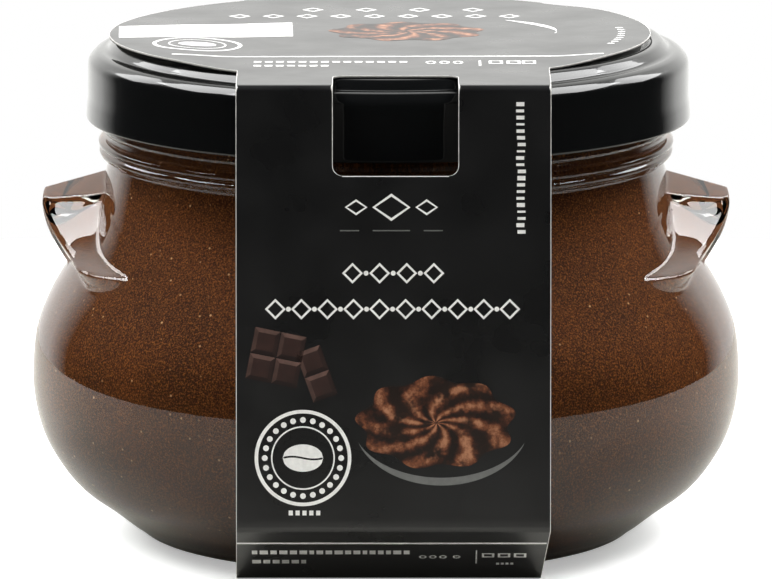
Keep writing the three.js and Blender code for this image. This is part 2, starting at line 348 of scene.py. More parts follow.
def neckRadii(heights):
    # the wall with beads round it, each half an ellipse s sqrt(1 - t^2), t being the distance from
    # its middle over its half height, cut on its upper side by a cone of slope m that runs a
    # little inside the ellipse's tangent sqrt(s^2 + (m h)^2) - m z; where two beads meet the
    # outer one holds, and the broad swelling is added to both
    radius = np.where(heights < jar["finishFrom"], jar["neckRadius"], jar["finishRadius"])
    middle, swell, half = (column[:, None] for column in np.transpose(jar["beads"]))
    slope, away = jar["bevelSlope"], heights - middle
    swells = np.maximum(0, np.minimum(
        swell * np.sqrt(np.maximum(0, 1 - (away / half) ** 2)),
        np.hypot(swell, slope * half) - jar["bevelCut"] - slope * away))
    return radius + swells[0] + np.max(swells[1:], axis=0)


def innerWall(inset):
    # the belly curve moved inward along its normal, then rounded into the flat floor
    moved = movedInward(splineThrough(jar["belly"], 400), inset)
    shift = inset - jar["wall"]
    side = moved[(moved[:, 1] > jar["innerFrom"] + shift) & (moved[:, 1] < jar["innerTo"])]
    side = side[::-jar["innerEvery"]]
    turn = np.array(jar["floorTurn"])
    turn[:2, 0] -= shift  # the two points on the bend go in with the wall
    turn[:, 1] += shift
    turn = splineThrough(np.concatenate([side[-1:], turn]), jar["turnRows"])
    neck = [(jar["finishRadius"] - inset, z) for z in jar["innerNeck"]]
    return np.concatenate([neck, side, turn[1:]])


def makeJar():
    # a profile of foot, belly, beaded neck, rim and inner wall swept round the axis; where the
    # ears may be, the radius goes out to earRadius
    foot = splineThrough(jar["foot"], jar["footRows"])
    belly = atHeights(splineThrough(jar["belly"], 800), spans(*jar["bellyRows"]))
    heights = spans(*jar["neckRows"])
    neck = np.stack([neckRadii(heights), heights], 1)
    outside = np.concatenate([foot, belly, neck])
    rim = splineThrough(jar["rim"], jar["rimRows"])
    profile = np.concatenate([outside, rim, innerWall(jar["wall"])[1:]])
    quarter = np.radians(spans(*jar["quarterColumns"]))
    half = np.concatenate([quarter, (math.pi - quarter[:-1])[::-1]])
    angles = np.concatenate([half, half[1:-1] + math.pi])
    grid = latheGrid(profile, angles)
    fromEar = np.abs((angles + math.pi / 2) % math.pi - math.pi / 2)
    low, high = jar["earRows"]
    bearing = np.zeros(len(profile), bool)
    bearing[: len(outside)] = (outside[:, 1] > low) & (outside[:, 1] < high)
    body, heights = profile[bearing, 0][:, None], profile[bearing, 1][:, None]
    reach = earRadius(fromEar[None, :] * body, heights, body)
    grid[bearing, :, 0] = reach * np.cos(angles)
    grid[bearing, :, 1] = reach * np.sin(angles)
    faces = gridFaces(len(profile), len(angles), wrapColumns=True)
    return makePiece("jarGlass", grid, faces, [glassMaterial()])


def glassMaterial():
    material, tree = newMaterial("clearGlass")
    waves = noise(tree, objectPoints(tree), jar["waveScale"], 1.0)
    glass = surface(
        tree, BaseColor=(*jar["tint"], 1), Roughness=jar["roughness"], IOR=jar["refraction"],
        TransmissionWeight=1.0, Normal=bump(tree, waves, jar["wave"], jar["waveDepth"]))
    # lamps shine through it as through a clear pane
    clear = addNode(tree, "ShaderNodeBsdfTransparent", Color=jar["shadowTint"])
    path = addNode(tree, "ShaderNodeLightPath")
    mixed = addNode(tree, "ShaderNodeMixShader", Fac=path.outputs["Is Shadow Ray"])
    feed(tree, mixed.inputs[1], glass.outputs[0])
    feed(tree, mixed.inputs[2], clear.outputs[0])
    output(tree, mixed)
    return material


jarGlass = makeJar()
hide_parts("glass_jar")
print("jar made")


mousse = dict(
    reach=0.2, level=82.0, dome=0.6, topRows=12, columns=180,
    dark=(0.0345, 0.0090, 0.0014), brown=(0.059, 0.0152, 0.0024), light=(0.165, 0.055, 0.011),
    # the pit colour is painted shade for the low pits of the mousse's grain
    pore=(0.024, 0.008, 0.003), speck=(0.42, 0.24, 0.12),
    cloudScale=55.0, grainScale=3300.0, speckScale=620.0, speckSize=(0.16, 0.08),
    specksPicked=(0.72, 0.95), poresFrom=(0.5, 0.36), lightFrom=(0.5, 0.67),
    roughness=0.62, refraction=1.3, specular=0.2, grainBump=0.25, grainDepth=0.0003,
)


def makeMousse():
    # the jar's inner wall moved a little way into the glass, closed by a gently domed top
    wall = innerWall(jar["wall"] - mousse["reach"])[::-1]
    wall = wall[wall[:, 1] < mousse["level"] - 0.5]
    neck = jar["finishRadius"] - jar["wall"] + mousse["reach"]
    r = np.linspace(1, 0, mousse["topRows"])[:, None]
    top = np.concatenate([neck * r, mousse["level"] + mousse["dome"] * (1 - r ** 2)], 1)
    profile = np.concatenate([wall, top])
    return turnedPiece("mousseFill", profile, mousse["columns"], mousseMaterial())


def mousseMaterial():
    # soft clouds of two browns, a fine grain with painted shade in its low pits and a lighter
    # brown where it rises, and a few specks
    m = mousse
    material, tree = newMaterial("darkMousse")
    points = objectPoints(tree)
    clouds = noise(tree, points, m["cloudScale"], 3.0, 0.55)
    grain = noise(tree, points, m["grainScale"], 2.0, 0.75)
    cells = addNode(tree, "ShaderNodeTexVoronoi", Vector=points, Scale=m["speckScale"])
    speck = spread(tree, cells.outputs["Distance"], *m["speckSize"])
    picked = addNode(tree, "ShaderNodeSeparateColor", Color=cells.outputs["Color"])
    bright = spread(tree, picked.outputs[0], *m["specksPicked"])
    amount = compute(tree, "MULTIPLY", speck, bright)
    base = ramp(tree, clouds, [(0.32, m["dark"]), (0.55, m["brown"])])
    # painted shade: the pit colour darkens the grain where it sinks, standing in for shade in the
    # pits
    pitShaded = mixColours(tree, spread(tree, grain, *m["poresFrom"]), base, m["pore"])
    fine = mixColours(tree, spread(tree, grain, *m["lightFrom"]), pitShaded, m["light"])
    colour = mixColours(tree, amount, fine, m["speck"])
    output(tree, surface(
        tree, BaseColor=colour, Roughness=m["roughness"], IOR=m["refraction"],
        SpecularIORLevel=m["specular"], Normal=bump(tree, grain, m["grainBump"], m["grainDepth"])))
    return material


mousseFill = makeMousse()
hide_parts("mousse")
print("mousse made")


lid = dict(
    outside=[
        (0, 84.75), (20, 84.75), (38, 84.75), (43.0, 84.75), (43.9, 84.95), (44.6, 85.5),
        (45.2, 86.0), (45.9, 86.18), (46.6, 86.12), (47.1, 85.9), (47.5, 85.55), (47.95, 85.1),
        (48.35, 84.68), (48.85, 84.47), (49.6, 84.36), (50.3, 84.12), (50.77, 83.78),
        (51.2, 83.36), (51.55, 82.88), (51.74, 82.3), (51.81, 81.4), (51.82, 79.0), (51.84, 76.6),
        (51.98, 75.2), (52.1, 73.9), (52.12, 73.1), (52.02, 72.8), (51.75, 72.7), (51.2, 72.72),
        (50.7, 72.85), (50.5, 73.2), (50.45, 73.7), (50.6, 74.2), (50.9, 74.6), (51.15, 74.9),
    ],
    sheet=0.5, shift=0.4, skirtTop=75.2, skirtInside=51.35, rows=240, columns=240,
    colour=(0.0035, 0.0038, 0.004), roughness=(0.14, 0.24), specular=0.1,
    coat=0.64, coatRoughness=0.03, refraction=1.5,
    peelScale=260.0, peel=0.05, peelDepth=0.0003, hazeScale=30.0,
)


def makeLid():
    # a turned profile: recessed panel, raised ring, step, straight skirt and rolled lower edge,
    # then the same line again from below, moved in by the sheet's thickness along its normal
    outer = splineThrough(lid["outside"], lid["rows"])
    inner = movedInward(outer, -lid["sheet"])
    skirt = np.array([(lid["skirtInside"], lid["skirtTop"])])
    inside = np.concatenate([skirt, inner[outer[:, 1] > lid["skirtTop"]][::-1]])
    inside[:, 0] = np.clip(inside[:, 0], 0, lid["skirtInside"])
    inside[-1] = (0, lid["outside"][0][1] - lid["sheet"])
    profile = np.concatenate([outer, inside])[::-1]
    return turnedPiece("twistLid", profile, lid["columns"], lidMaterial(), lid["shift"])


def lidMaterial():
    material, tree = newMaterial("blackLacquer")
    points = objectPoints(tree)
    peel = noise(tree, points, lid["peelScale"], 2.0)
    haze = spread(tree, noise(tree, points, lid["hazeScale"], 3.0), 0.3, 0.7, *lid["roughness"])
    output(tree, surface(
        tree, BaseColor=(*lid["colour"], 1), Roughness=haze, IOR=lid["refraction"],
        SpecularIORLevel=lid["specular"], CoatWeight=lid["coat"],
        CoatRoughness=lid["coatRoughness"], CoatIOR=lid["refraction"],
        Normal=bump(tree, peel, lid["peel"], lid["peelDepth"])))
    return material


twistLid = makeLid()
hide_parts("lid")
print("lid made")


card = dict(
    thickness=0.35, foldRadius=1.1,
    corners=[
        (0, 86.65), (-56.6, 86.65), (-63.6, 12.2), (-43.2, 0), (43.2, 0), (63.6, 12.2),
        (56.6, 86.65),
    ],
    width=52.7, shift=1.25, discRadius=46.65, discShift=-1.05, flapOut=0.3, flapIn=1.3,
    windowWidth=21.0, windowShift=1.6, windowBottom=71.6, windowDepth=45.7, windowCorner=1.7,
    wingLift=0.5, wingStart=26.5, wingEnd=38.0, wingFront=-25.0, wingBack=30.0,
    sag=0.25, sagRadius=47.2, sagFoot=55.0, columns=43,
    bareEdge=0.11, wornEdge=0.2, wornLength=0.6, cutEdge=0.1,
    ink=(0.0070, 0.0071, 0.0076), core=(0.82, 0.81, 0.78), inside=(0.42, 0.41, 0.39),
    mottleScale=90.0, roughness=(0.26, 0.34), coat=0.25, coatRoughness=0.22, refraction=1.5,
    fibreScale=700.0, fibre=0.12, fibreStretch=(1, 1, 0.35), fibreDepth=0.0001,
    coreScale=1500.0, coreRoughness=0.8,
    insideScale=600.0, insideFibre=0.2, insideRoughness=0.75,
)


def foldedLoop():
    # the sleeve's outline seen from the side, [depth, height], walked from the middle of the top
    # down the front, under the foot and up the back, each fold rounded by a small arc
    corners = np.asarray(card["corners"], float)
    count = len(corners)
    points = [corners[:1]]
    for i in range(1, count):
        before, here, after = corners[i - 1], corners[i], corners[(i + 1) % count]
        back = (before - here) / np.linalg.norm(before - here)
        ahead = (after - here) / np.linalg.norm(after - here)
        half = 0.5 * math.acos(np.clip(back @ ahead, -1, 1))
        setback = card["foldRadius"] / math.tan(half)
        inward = (back + ahead) / np.linalg.norm(back + ahead)
        middle = here + inward * card["foldRadius"] / math.sin(half)
        start, end = here + back * setback, here + ahead * setback
        turn = np.linspace(0, 1, 7)[:, None]
        spokes = (start - middle) * (1 - turn) + (end - middle) * turn
        spokes /= np.linalg.norm(spokes, axis=1)[:, None]
        points.append(middle + spokes * card["foldRadius"])
    points.append(corners[:1])
    return np.concatenate(points)


loop = foldedLoop()
loopLength = np.concatenate([[0], np.cumsum(np.linalg.norm(np.diff(loop, axis=0), axis=1))])
frontFold, crease, baseFold = (loopLength[4 + 7 * i] for i in range(3))


def panelAt(first, height):
    # distance along the loop of a height on the flat panel that starts at a point of the loop
    share = (loop[first, 1] - np.asarray(height, float)) / (loop[first, 1] - loop[first + 1, 1])
    return loopLength[first] + share * (loopLength[first + 1] - loopLength[first])


def frontAt(height):
    return panelAt(7, height)  # the front, below the first fold's seven points


def flapAt(height):
    return panelAt(14, height)  # the flap, below the crease


def topAt(depth):
    # distance along the loop of a depth on the top, which is positive behind its middle
    return -np.asarray(depth, float) % loopLength[-1]


def onLoop(along):
    # [depth, height] at a distance along the loop
    along = along % loopLength[-1]
    return np.stack([np.interp(along, loopLength, side) for side in loop.T], -1)


def loopPoints(x, along, lift=0.0):
    # a point of the sleeve's outer face, x across and a distance along the loop, lifted off the
    # card along its normal; the two wings over the lid bend up a little, the left one less and
    # less towards the back, and behind the lid's ring the top sinks with the distance past it
    along = np.asarray(along, float) % loopLength[-1]
    depth, height = np.moveaxis(onLoop(along), -1, 0)
    tangent = onLoop(along + 0.02) - onLoop(along - 0.02)
    tangent /= np.maximum(1e-9, np.linalg.norm(tangent, axis=-1))[..., None]
    outX, outZ = tangent[..., 1], -tangent[..., 0]
    top = card["corners"][0][1]
    wing = smoothStep(card["wingStart"], card["wingEnd"], np.abs(x - card["shift"]))
    wing = wing * np.where(x < 0, smoothStep(card["wingBack"], card["wingFront"], depth), 1)
    raised = np.where(height > top - 0.01, wing * card["wingLift"], 0)
    ring = np.sqrt(np.maximum(0, card["sagRadius"] ** 2 - np.square(x - card["discShift"])))
    upTheBack = np.clip((height - card["sagFoot"]) / (top - card["sagFoot"]), 0, 1)
    sunk = card["sag"] * np.maximum(0, depth - ring) * upTheBack
    outHeight = height + lift * outZ + raised - sunk
    return np.stack([np.broadcast_to(x, depth.shape), depth + lift * outX, outHeight], -1)


def sleeveEdges(along):
    # left and right edge of the card at each distance along the loop; over the lid they follow a
    # disc, x = middle +- sqrt(R^2 - depth^2), and below the crease they draw in towards the foot
    c = card
    point = loopPoints(0, along)
    onTop = point[:, 2] > c["corners"][0][1] - 0.01
    chord = np.sqrt(np.maximum(0, c["discRadius"] ** 2 - point[:, 1] ** 2))
    left = np.full(len(along), c["shift"] - c["width"] / 2)
    right = np.full(len(along), c["shift"] + c["width"] / 2)
    taper = np.interp(along, [crease, baseFold, loopLength[-1] / 2], [0, 1, 0])
    left = left - c["flapOut"] * taper
    right = right - c["flapIn"] * taper
    left = np.where(onTop, np.minimum(left, c["discShift"] - chord), left)
    right = np.where(onTop, np.maximum(right, c["discShift"] + chord), right)
    return left, right


def makeSleeve():
    # rows go round the loop, closer at the folds, the disc's ends and the window's, and columns
    # run from the left edge to the window, across it and on to the right edge; the window's sides
    # bend in at its ends by r - sqrt(r^2 - d^2), which rounds its corners
    c = card
    windowStart, windowEnd = c["windowDepth"], float(frontAt(c["windowBottom"]))
    r = c["windowCorner"]
    cornerSteps = r * (1 - np.cos(np.linspace(0, math.pi / 2, 7)))
    total = loopLength[-1]
    discEnd = math.sqrt(c["discRadius"] ** 2 - (c["width"] / 2) ** 2)
    beside = np.array([0.14, 0.6, 1.5, 3])
    along = np.concatenate([
        loopLength[1:-1], [discEnd, total - discEnd],
        windowStart - beside, windowStart + cornerSteps,
        windowEnd - cornerSteps, windowEnd + beside,
        np.linspace(windowStart + r, frontFold, 6)[1:-1],
        np.linspace(frontFold + 2, windowEnd - r, 5)[:-1],
        spans((0, 34, 30), (35, 41, 13), (windowEnd + 5, crease - 2, 24),
              (crease + 2, baseFold - 2, 8), (baseFold + 2, total / 2, 12)),
        total - spans((0.6, 34, 30), (35, 41, 13), (44, crease - 2, 30),
                      (crease + 2, total / 2 - 2, 20)),
    ])
    along = np.unique(np.round(along[along < total - 0.01], 4))
    left, right = sleeveEdges(along)
    beyond = np.maximum(windowStart - along, along - windowEnd)
    bend = r - np.sqrt(np.maximum(0, r * r - np.clip(beyond + r, 0, r) ** 2))
    bend = np.where(beyond > 0, r * (1 - smoothStep(0, 5, beyond)), bend)
    windowLeft = c["windowShift"] - c["windowWidth"] / 2 + bend
    windowRight = c["windowShift"] + c["windowWidth"] / 2 - bend
    share = np.concatenate([[0], np.linspace(0.01, 0.99, c["columns"] - 2), [1]])
    # a bare white strip along each edge, worn wider where the front fold meets it
    trim = c["bareEdge"] + c["wornEdge"] * np.exp(-(((along - frontFold) / c["wornLength"]) ** 2))
    sections = ((left + trim, windowLeft - trim), (windowLeft, windowRight),
                (windowRight + trim, right - trim))
    x = np.concatenate(
        [left[:, None]] + [a[:, None] + (b - a)[:, None] * share for a, b in sections]
        + [right[:, None]], 1)
    points = loopPoints(x, np.broadcast_to(along[:, None], x.shape))
    rows, columns = x.shape
    keep = np.ones((rows, columns - 1), bool)
    middle = (along + np.roll(along, -1)) / 2
    inWindow = (middle > windowStart) & (middle < windowEnd)
    across = np.arange(c["columns"], 2 * c["columns"] + 1)
    keep[np.ix_(inWindow, across[1:-1])] = False
    faces = gridFaces(rows, columns, wrapRows=True, keep=keep)[:, ::-1]
    beyond = np.maximum(windowStart - middle, middle - windowEnd)
    bare = np.zeros((rows, columns - 1), bool)
    bare[:, [0, -1]] = True
    bare[np.ix_(inWindow, across[[0, -1]])] = True
    bare[np.ix_((beyond > 0) & (beyond < c["cutEdge"]), across)] = True
    piece = makePiece(
        "cardSleeve", points, faces, [printMaterial(), coreMaterial(), boardMaterial()])
    piece.data.polygons.foreach_set("material_index", bare[keep].astype(np.int32))
    layer = thicken(piece, "cardThickness", c["thickness"])
    layer.use_even_offset = True
    layer.material_offset = 2
    layer.material_offset_rim = 1
    return piece


def printMaterial():
    # black ink under a satin varnish, on card with upright fibres
    material, tree = newMaterial("blackPrint")
    fibres = noise(tree, objectPoints(tree, card["fibreStretch"]), card["fibreScale"], 3.0, 0.6)
    mottle = noise(tree, objectPoints(tree), card["mottleScale"], 3.0)
    colour = shaded(tree, mottle, 0.3, 0.75, card["ink"], 0.8, 1.25)
    output(tree, surface(
        tree, BaseColor=colour, Roughness=spread(tree, mottle, 0.3, 0.7, *card["roughness"]),
        IOR=card["refraction"], CoatWeight=card["coat"], CoatRoughness=card["coatRoughness"],
        Normal=bump(tree, fibres, card["fibre"], card["fibreDepth"])))
    return material


def coreMaterial():
    material, tree = newMaterial("cardCore")
    fibres = noise(tree, objectPoints(tree), card["coreScale"], 3.0)
    colour = shaded(tree, fibres, 0.3, 0.7, card["core"], 0.85)
    output(tree, surface(tree, BaseColor=colour, Roughness=card["coreRoughness"]))
    return material


def boardMaterial():
    material, tree = newMaterial("greyBoard")
    fibres = noise(tree, objectPoints(tree), card["insideScale"], 4.0, 0.7)
    colour = shaded(tree, fibres, 0.3, 0.7, card["inside"], 0.8)
    output(tree, surface(
        tree, BaseColor=colour, Roughness=card["insideRoughness"],
        Normal=bump(tree, fibres, card["insideFibre"], card["fibreDepth"])))
    return material


cardSleeve = makeSleeve()
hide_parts("sleeve")
print("sleeve made")


prints = dict(
    lift=0.02, thickness=0.03,
    # inks: colour, roughness, metallic; grain
    whiteInk=((0.95, 0.95, 0.93), 0.4, 0.0), silverInk=((0.20, 0.205, 0.20), 0.35, 0.3),
    inkGrain=1200.0, pictureRoughness=0.35,
    # lozenges of the front: across, height, half width, half height, line
    lozenges=[
        (0.9, 66.4, 3.2, 2.3, 0.5), (-5.0, 66.4, 1.9, 1.35, 0.4), (6.8, 66.4, 1.9, 1.35, 0.4)],
    # bands of lozenges and dots: first and last across, count, height
    bands=[(-5.6, 8.0, 4, 55.4), (-18.5, 20.7, 10, 49.4)],
    bandLozenge=(1.75, 1.75, 0.5), bandDot=0.42,
    # column of dashes: left edge, its shift, width, lengths, and heights from, to and step
    dashX=21.7, dashShift=0.3, dashWidth=1.35, dashLength=(0.35, 0.75),
    dashHeights=(62.3, 84.2, 1.12),
    # rings with a bean: across and height or depth, inner and outer radius and count of steps of
    # each line, half width and height of the bean
    frontRing=(-13.9, 24.5), frontLines=[(7.5, 8.1, 96), (5.1, 5.35, 72)], frontBean=(3.4, 2.3),
    frontDots=(6.4, 24, 0.5),
    topRing=(-32.3, -12.4), topLines=[(7.0, 7.7, 80), (4.7, 5.0, 60)], topBean=(3.3, 2.2),
    # rule, rounds, upright and boxes: from, to and both edges, or across, level and size
    flapRule=(-25.1, 27.0, 9.3, 8.95), flapUpright=(15.1, 15.35, 7.3, 3.9),
    flapRounds=((6.2, 7.9, 9.6, 11.9), 5.6, (0.65, 0.8, 0.3)),
    flapBoxes=((17.2, 19.9, 22.6), 6.0, (1.05, 1.0, 0.4)),
    topUpright=(15.7, 16.1, -29.0, -35.0), topRounds=((7.6, 9.9, 12.2), -31.2, (0.9, 1.6, 0.4)),
    topBoxes=((18.6, 21.6, 24.2), -31.0, (1.2, 1.7, 0.5)),
    # rows of dashes on the flap: start, end, upper and lower height
    flapRows=[(-22.6, 4, 7.25, 6.3), (-22.6, -13.5, 4.8, 3.9)], flapDash=(0.7, 1.5), flapGap=0.4,
    # rows of even bars: start, end, step, width, and the upper and lower edge
    frontBars=(-16.3, -11.2, 1.15, 0.7, 15.7, 14.9), flapBars=(18.6, 21.6, 0.8, 0.5, 4.1, 3.6),
    topBars=[(-22.4, 3.5, 1.9, 1.3, -29.9, -31.3), (-22.4, -9.6, 1.9, 1.3, -34.2, -35.6)],
    # bands of lozenges on the top: first and last across, count, depth; size
    topBands=[(-12.8, 15.2, 4, 29.0), (-25.5, 21.5, 9, 21.5)], topLozenge=(1.9, 2.2, 0.6),
    # white field on the top: its front left corner, size, and how it is turned and slanted
    fieldX=-46.2, fieldDepth=8.6, fieldSize=(29.9, 14.3), fieldTurn=(5.4, 0.3), fieldSlant=1.4,
    # rule across the top: from, to, depth, slope, width
    topRule=(-36.4, 37.0, -24.7, 0.015, 0.8),
    # marks that curve round the right side of the top: radius, from, to, count; shift and size
    marks=(41.2, -0.32, 0.12, 9), markShift=0.6, markSize=(0.7, 0.5, 0.45, 8),
    # short silver rules under the lozenges: from and length, at their height and line
    silverRules=[(-7.7, 3.2), (-2.2, 6.2), (6.3, 3.2)], silverHeight=62.6, silverLine=0.2,
    # crescents: middle across and height or depth, half width and height, thickness, from, to
    plate=(9.3, 30.6, 15.0, 9.4, 1.3, -158, -22), topCrescent=(6.5, 5.0, 23.0, 15.5, 2.6, -12, 52),
    # squares of chocolate: half size, half face, gap; blocks by middle, turn, columns and rows
    tabletHalf=2.15, tabletFace=1.45, tabletGap=0.12,
    tabletBlocks=[(-18.4, 41.3, -0.2, 2, 2), (-11.6, 38.6, 0.35, 1, 2)],
    tabletTone=0.36, bevelTones=(0.08, 0.2, 0.95, 0.6),
    tabletStops=[
        (0.0, (0.006, 0.003, 0.003)), (0.36, (0.036, 0.016, 0.013)), (1.0, (0.15, 0.085, 0.07))],
    tabletDust=(0.012, 0.007, 0.006), dustScale=500.0, dustFrom=(0.35, 0.7), dustMost=0.45,
    # rosettes: middle across and height or depth, half width and half height
    frontSwirl=(8.4, 30.4, 13.6, 7.9), topSwirl=(3.6, 3.8, 13.6, 11.0),
    swirlRidges=9, swirlTwist=1.15, swirlScallop=0.12, swirlLight=2.2, swirlRim=(1.25, 0.35),
    swirlCrest=0.62, swirlSlope=0.25, swirlMiddle=0.16,
    swirlStops=[
        (0.05, (0.007, 0.003, 0.002)), (0.35, (0.05, 0.014, 0.006)), (0.62, (0.16, 0.05, 0.02)),
        (0.95, (0.42, 0.19, 0.10))],
    swirlPit=(0.012, 0.005, 0.003), pitScale=260.0, pitFrom=(0.34, 0.5),
    crumbScale=520.0, crumbGain=1.9, crumbShift=-0.95,
)


def bar(x0, x1, along0, along1):
    # a filled rectangle as a grid of two by two points
    x, s = np.meshgrid([x0, x1], [along0, along1])
    return x, s


def barRow(start, end, step, width, upper, lower, place):
    # even bars, placed by the function that turns a height or depth into a distance along the loop
    return [bar(x, x + width, place(upper), place(lower)) for x in np.arange(start, end, step)]


def ringShape(x, along, inner, outer, count):
    # the strip between two circles
    turn = np.linspace(0, 2 * math.pi, count + 1)
    radius = np.array([inner, outer])[:, None]
    return x + radius * np.cos(turn), along - radius * np.sin(turn)


def frameShape(x, along, halfWidth, halfHeight, line, corners=4, turned=True):
    # the outline of a diamond (turned) or a rectangle, or of a round with more corners
    turn = np.linspace(0, 2 * math.pi, corners + 1) + (0 if turned else math.pi / 4)
    size = 1 if turned else math.sqrt(2)
    inset = np.array([line, 0])[:, None]
    across = x + (halfWidth - inset) * size * np.cos(turn)
    return across, along - (halfHeight - inset) * size * np.sin(turn)


def dotShape(x, along, radius, corners):
    return frameShape(x, along, radius, radius, radius - 0.01, corners)


def beanShapes(x, along, halfWidth, halfHeight):
    # a bean seen from above: an ellipse split by a wavy gap into two halves
    turn = np.linspace(-1, 1, 25)
    rim = np.sqrt(1 - turn ** 2)
    gap = 0.1 * np.sin(turn * 3.0)
    upper = np.stack([-rim, np.maximum(-rim, gap - 0.07)])
    lower = np.stack([np.minimum(rim, gap + 0.07), rim])
    across = np.stack([x + turn * halfWidth] * 2)
    return [(across, along + half * halfHeight) for half in (upper, lower)]


def beanRing(part, place):
    # round lines with a bean inside, on the front or on the top
    x, level = prints[part + "Ring"]
    along = float(place(level))
    rings = [ringShape(x, along, *line) for line in prints[part + "Lines"]]
    return rings + beanShapes(x, along, *prints[part + "Bean"])


def crescent(x, height, halfWidth, halfHeight, thick, start, end):
    # the strip between an arc of an ellipse and the same arc moved down, thickest in its middle
    turn = np.radians(np.linspace(start, end, 61))
    taper = thick * np.cos(np.linspace(-1, 1, 61) * math.pi / 2) ** 0.7
    edge = height + halfHeight * np.sin(turn)
    return np.stack([x + halfWidth * np.cos(turn)] * 2), np.stack([edge, edge - taper])


def smallRow(part, place):
    # rounds, an upright and boxes in a row, on the flap or on the top
    across, level, size = prints[part + "Rounds"]
    shapes = [frameShape(x, place(level), *size, 12) for x in across]
    x0, x1, upper, lower = prints[part + "Upright"]
    shapes.append(bar(x0, x1, place(upper), place(lower)))
    across, level, size = prints[part + "Boxes"]
    return shapes + [frameShape(x, place(level), *size, 4, False) for x in across]


def makeInk(name, shapes, material, tones=None, weld=True):
    # every shape is a grid of (x, along) points laid on the card, and the lifted sheet gets a
    # thickness; tones holds a number or a grid of numbers for each shape
    points, faces, count = [], [], 0
    for x, along in shapes:
        points.append(loopPoints(x, along, prints["lift"]).reshape(-1, 3))
        faces.append(gridFaces(*x.shape) + count)
        count += x.size
    if tones is not None:
        tones = np.concatenate([
            np.broadcast_to(tone, x.shape).ravel() for tone, (x, along) in zip(tones, shapes)])
    faces = np.concatenate(faces)
    points = np.concatenate(points)
    # a face that looks towards the middle of the jar is turned round
    a, b, d = points[faces[:, 0]], points[faces[:, 1]], points[faces[:, 3]]
    outward = a - np.array([0, 0, 45.0])
    flip = np.einsum("ij,ij->i", np.cross(b - a, d - a), outward) < 0
    faces[flip] = faces[flip][:, ::-1]
    piece = makePiece(name, points, faces, [material], weld, False, tones)
    thicken(piece, "inkThickness", prints["thickness"])


def inkMaterial(name):
    colour, roughness, metallic = prints[name]
    material, tree = newMaterial(name)
    grain = noise(tree, objectPoints(tree), prints["inkGrain"], 2.0)
    tone = shaded(tree, grain, 0.25, 0.7, colour, 0.86)
    output(tree, surface(tree, BaseColor=tone, Roughness=roughness, Metallic=metallic))
    return material


def whiteShapes():
    # all of the white ink on the front and the flap, from the top down
    p = prints
    random = np.random.default_rng(7)
    shapes = [frameShape(x, frontAt(height), *size) for x, height, *size in p["lozenges"]]
    for *span, height in p["bands"]:
        places = np.linspace(*span)
        between = (places[:-1] + places[1:]) / 2
        shapes += [frameShape(x, frontAt(height), *p["bandLozenge"]) for x in places]
        shapes += [dotShape(x, frontAt(height), p["bandDot"], 12) for x in between]
    for height in np.arange(*p["dashHeights"]):
        half = random.uniform(*p["dashLength"]) / 2
        x = p["dashX"] + random.uniform(0, p["dashShift"])
        shapes.append(bar(x, x + p["dashWidth"], frontAt(height + half), frontAt(height - half)))
    shapes += beanRing("front", frontAt)
    (x, height), (radius, count, size) = p["frontRing"], p["frontDots"]
    for turn in fullTurn(count):
        along = frontAt(height) + radius * math.sin(turn)
        shapes.append(dotShape(x + radius * math.cos(turn), along, size, 10))
    shapes += barRow(*p["frontBars"], frontAt)
    # the flap: a rule, two rows of dashes, and small rows beside them
    x0, x1, upper, lower = p["flapRule"]
    shapes.append(bar(x0, x1, flapAt(upper), flapAt(lower)))
    for x, end, upper, lower in p["flapRows"]:
        while x < end:
            length = random.uniform(*p["flapDash"])
            shapes.append(bar(x, x + length, flapAt(upper), flapAt(lower)))
            x += length + p["flapGap"]
    return shapes + smallRow("flap", flapAt) + barRow(*p["flapBars"], flapAt)


def topShapes():
    # all of the white ink on the top
    p = prints
    # a field whose edges run along x = a and depth = b - c, slightly turned and slanted
    across, down = np.meshgrid(np.linspace(0, 1, 16), np.linspace(0, 1, 3))
    (width, height), (rise, lean) = p["fieldSize"], p["fieldTurn"]
    x = p["fieldX"] + width * across + lean * down
    depth = p["fieldDepth"] + rise * across - (height + p["fieldSlant"] * across) * down
    shapes = [(x, topAt(depth))]
    start, end, depth, slope, width = p["topRule"]
    x, down = np.meshgrid(np.linspace(start, end, 48), [0, width])
    shapes.append((x, topAt(depth + slope * (x - start) - down)))
    shapes += beanRing("top", topAt)
    for *span, depth in p["topBands"]:
        shapes += [frameShape(x, topAt(depth), *p["topLozenge"]) for x in np.linspace(*span)]
    for row in p["topBars"]:
        shapes += barRow(*row, topAt)
    shapes += smallRow("top", topAt)
    x, depth = crescent(*p["topCrescent"])
    shapes.append((x, topAt(depth)))
    radius, *span = p["marks"]
    for turn in np.linspace(*span):
        x, depth = radius * math.cos(turn) - p["markShift"], radius * math.sin(turn)
        shapes.append(frameShape(x, topAt(depth), *p["markSize"]))
    return shapes


def silverShapes():
    # three short rules under the lozenges and a thin crescent under the front rosette
    upper, lower = prints["silverHeight"], prints["silverHeight"] - prints["silverLine"]
    shapes = [
        bar(x, x + length, frontAt(upper), frontAt(lower)) for x, length in prints["silverRules"]]
    x, height = crescent(*prints["plate"])
    return shapes + [(x, frontAt(height))]


